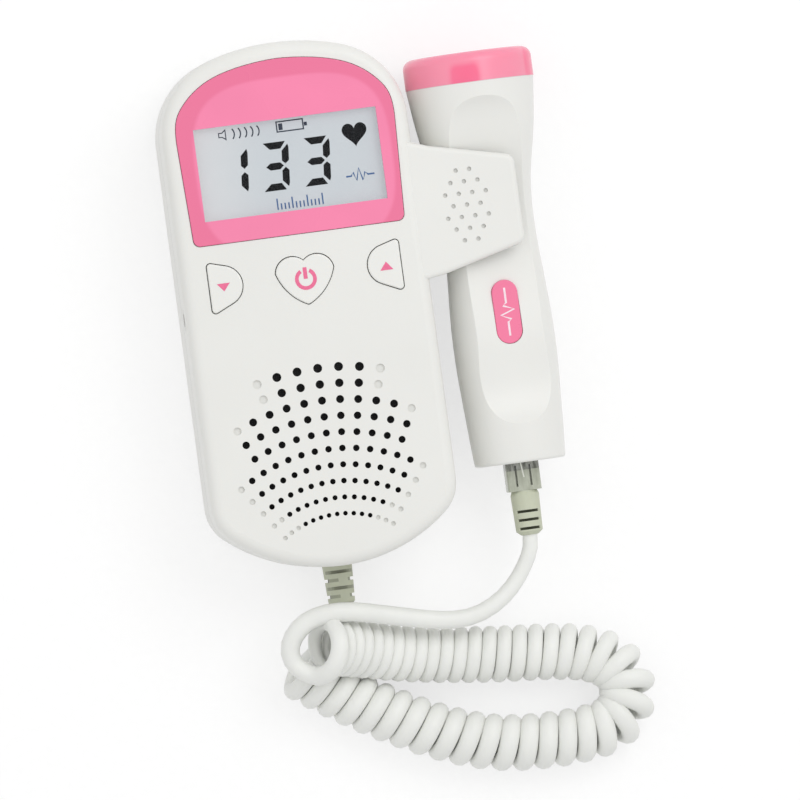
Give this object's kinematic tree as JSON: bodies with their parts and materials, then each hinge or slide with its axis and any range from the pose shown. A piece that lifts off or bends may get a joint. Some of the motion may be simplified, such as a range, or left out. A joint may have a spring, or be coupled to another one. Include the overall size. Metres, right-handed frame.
{
  "type": "fetal doppler monitor",
  "caption": "Hand-held fetal heart monitor: white main unit with display, buttons and speaker, and a clip that holds a probe on a curly cord.",
  "frame": {"origin": "on the table, below the middle of the main unit and the clipped probe, without the cord", "axes": "+Z out of the display, +Y to the display end, +X to the probe"},
  "size_m": [0.1094, 0.1928, 0.0344],
  "materials": {
    "shell_white": "fine satin grain",
    "button_white": "satin",
    "bezel_pink": "gloss, paler in the middle",
    "cap_pink": "gloss, slightly translucent",
    "label_pink": "gloss",
    "lens_clear": "clear",
    "lcd_glass": "backlit",
    "backlight_white": "diffuser",
    "holder_white": "satin",
    "socket_black": "satin",
    "board_green": "solder mask",
    "component_black": "satin",
    "steel": "zinc plated",
    "magnet_dark": "matt",
    "cone_black": "matt",
    "cloth_black": "woven",
    "cell_jacket": "satin jacket",
    "nickel": "nickel plated",
    "contact_gold": "plated",
    "rubber_grey": "matt",
    "relief_beige": "satin soft plastic",
    "plug_clear": "clear, slightly smoky",
    "crystal": "silvered face",
    "resin": "cast resin",
    "cable_grey": "satin",
    "cord_white": "soft satin"
  },
  "bodies": {
    "main_unit": {"front_case": "shell_white", "rear_case": "shell_white", "screen_bezel": "bezel_pink", "display_lens": "lens_clear", "lcd_panel": "lcd_glass", "lcd_backlight": "backlight_white", "lcd_holder": "holder_white", "headphone_jack": "socket_black", "tact_switches": "socket_black", "main_board": "board_green", "board_components": "component_black", "case_screws": "steel", "board_screws": "steel", "loudspeaker_basket": "steel", "loudspeaker_magnet": "magnet_dark", "loudspeaker_cone": "cone_black", "speaker_cloth": "cloth_black", "battery_left": "cell_jacket", "battery_right": "cell_jacket", "battery_contact_plates": "nickel", "battery_springs": "nickel", "rubber_feet": "rubber_grey", "strain_relief": "relief_beige", "internal_cable": "cable_grey", "cord_probe_lead": "cord_white", "cord_coil": "cord_white", "cord_unit_lead": "cord_white"},
    "probe": {"probe_front_shell": "shell_white", "probe_rear_shell": "shell_white", "probe_label": "label_pink", "probe_cap": "cap_pink", "cap_seal": "rubber_grey", "piezo_crystals": "crystal", "transducer_backing": "resin", "probe_socket": "socket_black", "probe_board": "board_green", "socket_contacts": "contact_gold", "modular_plug": "plug_clear", "plug_contacts": "contact_gold", "plug_boot": "relief_beige"},
    "power_key": {"power_button": "button_white"},
    "volume_down_key": {"volume_down_button": "button_white"},
    "volume_up_key": {"volume_up_button": "button_white"},
    "door": {"battery_door": "shell_white"}
  },
  "joints": [
    {"name": "probe_slide", "type": "slide", "parent": "main_unit", "child": "probe", "axis": [1, 0, 0], "range_m": [0, 0.035]},
    {"name": "power_press", "type": "slide", "parent": "main_unit", "child": "power_key", "axis": [0, 0, -1], "range_m": [0, 0.0006], "stiffness_N_per_m": 600, "springref_m": -0.0008},
    {"name": "volume_down_press", "type": "slide", "parent": "main_unit", "child": "volume_down_key", "axis": [0, 0, -1], "range_m": [0, 0.0006], "stiffness_N_per_m": 600, "springref_m": -0.0008},
    {"name": "volume_up_press", "type": "slide", "parent": "main_unit", "child": "volume_up_key", "axis": [0, 0, -1], "range_m": [0, 0.0006], "stiffness_N_per_m": 600, "springref_m": -0.0008},
    {"name": "battery_door_hinge", "type": "hinge", "parent": "main_unit", "child": "door", "pos_m": [-0.01735, 0.05775, 0.0008], "axis": [1, 0, 0], "range_deg": [0, 75]}
  ]
}
